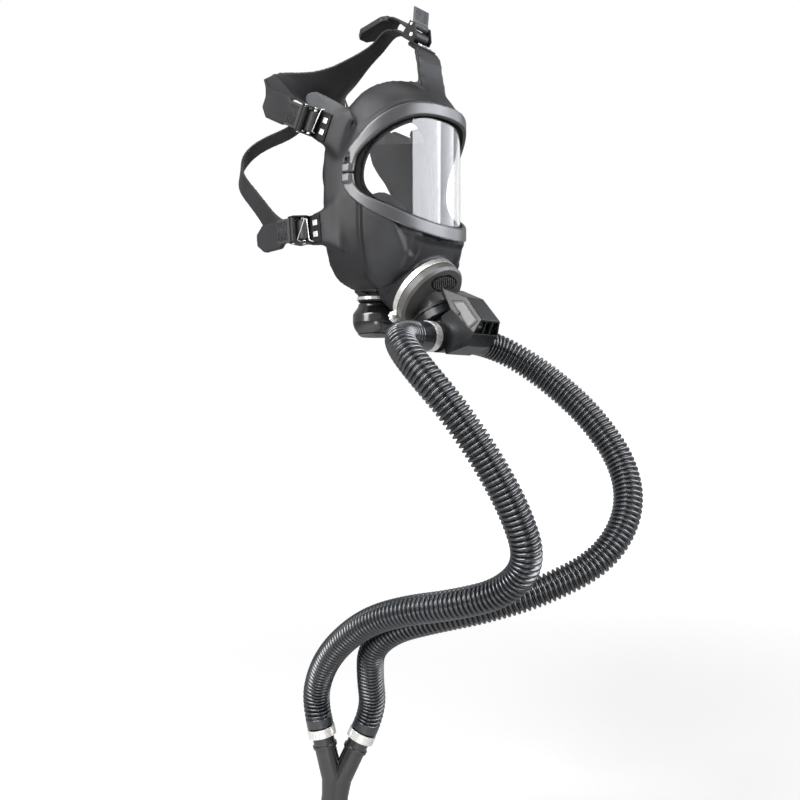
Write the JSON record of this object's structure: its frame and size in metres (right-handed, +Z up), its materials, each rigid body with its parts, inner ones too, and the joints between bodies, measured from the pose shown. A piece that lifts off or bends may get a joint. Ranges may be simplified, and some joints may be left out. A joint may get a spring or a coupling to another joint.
{
  "type": "powered air respirator",
  "caption": "Full-face respirator mask with panoramic lens, strap harness with roller buckles, front connector, twin corrugated hoses and Y-piece for a blower.",
  "frame": {"origin": "middle of the face opening, at the mount head_opening", "axes": "+Y out of the back of the mask towards the wearer, +Z up, +X to the wearer's left"},
  "size_m": [0.2444, 0.374, 0.8529],
  "materials": {
    "blank_rubber": "soft matt moulded rubber",
    "strap_rubber": "matt rubber strap",
    "gasket_rubber": "black rubber seal",
    "lens_clear": "clear polycarbonate",
    "frame_plastic": "dark grey satin plastic",
    "connector_plastic": "satin black plastic",
    "manifold_plastic": "semi-gloss black plastic",
    "bright_steel": "bright stainless steel",
    "buckle_steel": "black coated steel",
    "lever_steel": "knurled grey steel",
    "cup_rubber": "matt silicone rubber",
    "valve_silicone": "grey silicone flap",
    "seat_plastic": "plain moulded plastic",
    "hose_rubber": "blue-black satin corrugated rubber",
    "y_plastic": "satin black plastic"
  },
  "bodies": {
    "mask": {"buckle_bars": "bright_steel", "buckle_frame_crown": "buckle_steel", "buckle_frame_neck_left": "buckle_steel", "buckle_frame_neck_right": "buckle_steel", "buckle_frame_temple_left": "buckle_steel", "buckle_frame_temple_right": "buckle_steel", "buckle_pins": "bright_steel", "buckle_rivets": "bright_steel", "chin_valve_cover": "connector_plastic", "chin_valve_housing": "connector_plastic", "chin_valve_ring": "bright_steel", "chin_valve_seat": "seat_plastic", "connector_clamp": "bright_steel", "connector_clamp_screw": "bright_steel", "connector_housing": "connector_plastic", "coupling_seal": "gasket_rubber", "crown_strap": "strap_rubber", "exhaust_hood": "manifold_plastic", "face_blank": "blank_rubber", "head_plate": "strap_rubber", "hood_screws": "bright_steel", "hose_clamp_arm_left": "bright_steel", "hose_clamp_arm_right": "bright_steel", "hose_clamp_port_left": "bright_steel", "hose_clamp_port_right": "bright_steel", "hose_left": "hose_rubber", "hose_right": "hose_rubber", "inhalation_valve_seat": "seat_plastic", "lens": "lens_clear", "lens_frame_lower": "frame_plastic", "lens_frame_screws": "bright_steel", "lens_frame_upper": "frame_plastic", "lens_gasket": "gasket_rubber", "manifold": "manifold_plastic", "neck_strap_left": "strap_rubber", "neck_strap_right": "strap_rubber", "nose_cup": "cup_rubber", "nose_cup_valve_seats": "seat_plastic", "relief_valve_seat": "seat_plastic", "speech_diaphragm": "valve_silicone", "speech_grille": "connector_plastic", "swivel_seal": "gasket_rubber", "temple_strap_left": "strap_rubber", "temple_strap_right": "strap_rubber", "y_piece": "y_plastic"},
    "coupling": {"coupling_nut": "connector_plastic", "coupling_claw_ring": "bright_steel"},
    "swivel": {"swivel_nut": "y_plastic"},
    "inhalation_disc": {"inhalation_valve_disc": "valve_silicone"},
    "chin_disc": {"chin_valve_disc": "valve_silicone"},
    "relief_disc": {"relief_valve_disc": "valve_silicone"},
    "cup_disc_right": {"nose_cup_valve_right": "valve_silicone"},
    "cup_disc_left": {"nose_cup_valve_left": "valve_silicone"},
    "lever_temple_right": {"buckle_lever_temple_right": "lever_steel"},
    "lever_temple_left": {"buckle_lever_temple_left": "lever_steel"},
    "lever_neck_right": {"buckle_lever_neck_right": "lever_steel"},
    "lever_neck_left": {"buckle_lever_neck_left": "lever_steel"},
    "lever_crown": {"buckle_lever_crown": "lever_steel"}
  },
  "joints": [
    {"name": "lever_hinge_temple_right", "type": "hinge", "parent": "mask", "child": "lever_temple_right", "pos_m": [-0.1, -0.01891, 0.06594], "axis": [0, -0.438, 0.899], "range_deg": [0, 75]},
    {"name": "lever_hinge_temple_left", "type": "hinge", "parent": "mask", "child": "lever_temple_left", "pos_m": [0.1, -0.01891, 0.06594], "axis": [0, 0.438, -0.899], "range_deg": [0, 75]},
    {"name": "lever_hinge_neck_right", "type": "hinge", "parent": "mask", "child": "lever_neck_right", "pos_m": [-0.098, -0.00503, -0.03778], "axis": [0, 0.087, 0.9962], "range_deg": [0, 75]},
    {"name": "lever_hinge_neck_left", "type": "hinge", "parent": "mask", "child": "lever_neck_left", "pos_m": [0.098, -0.00503, -0.03778], "axis": [0, -0.087, -0.9962], "range_deg": [0, 75]},
    {"name": "lever_hinge_crown", "type": "hinge", "parent": "mask", "child": "lever_crown", "pos_m": [0, -0.08244, 0.16625], "axis": [1, 0, 0], "range_deg": [-48, 25]},
    {"name": "coupling_turn", "type": "hinge", "parent": "mask", "child": "coupling", "pos_m": [0, -0.09, -0.0945], "axis": [0, -0.5, -0.866], "continuous": true},
    {"name": "swivel_turn", "type": "hinge", "parent": "mask", "child": "swivel", "pos_m": [0.0015, 0.0275, -0.5977], "axis": [-0.0654, 0.0837, -0.9943], "continuous": true},
    {"name": "inhalation_lift", "type": "slide", "parent": "mask", "child": "inhalation_disc", "axis": [0, 0.5, 0.866], "range_m": [0, 0.002], "stiffness_N_per_m": 30, "springref_m": -0.002},
    {"name": "chin_valve_drop", "type": "slide", "parent": "mask", "child": "chin_disc", "axis": [0, 0, -1], "range_m": [0, 0.0025], "stiffness_N_per_m": 30, "springref_m": -0.002},
    {"name": "relief_valve_lift", "type": "slide", "parent": "mask", "child": "relief_disc", "axis": [0, -0.6746, 0.7381], "range_m": [0, 0.003], "stiffness_N_per_m": 30, "springref_m": -0.002},
    {"name": "cup_valve_lift_right", "type": "slide", "parent": "mask", "child": "cup_disc_right", "axis": [0.5, 0.45, -0.74], "range_m": [0, 0.0015], "stiffness_N_per_m": 30, "springref_m": -0.002},
    {"name": "cup_valve_lift_left", "type": "slide", "parent": "mask", "child": "cup_disc_left", "axis": [-0.5, 0.45, -0.74], "range_m": [0, 0.0015], "stiffness_N_per_m": 30, "springref_m": -0.002}
  ]
}
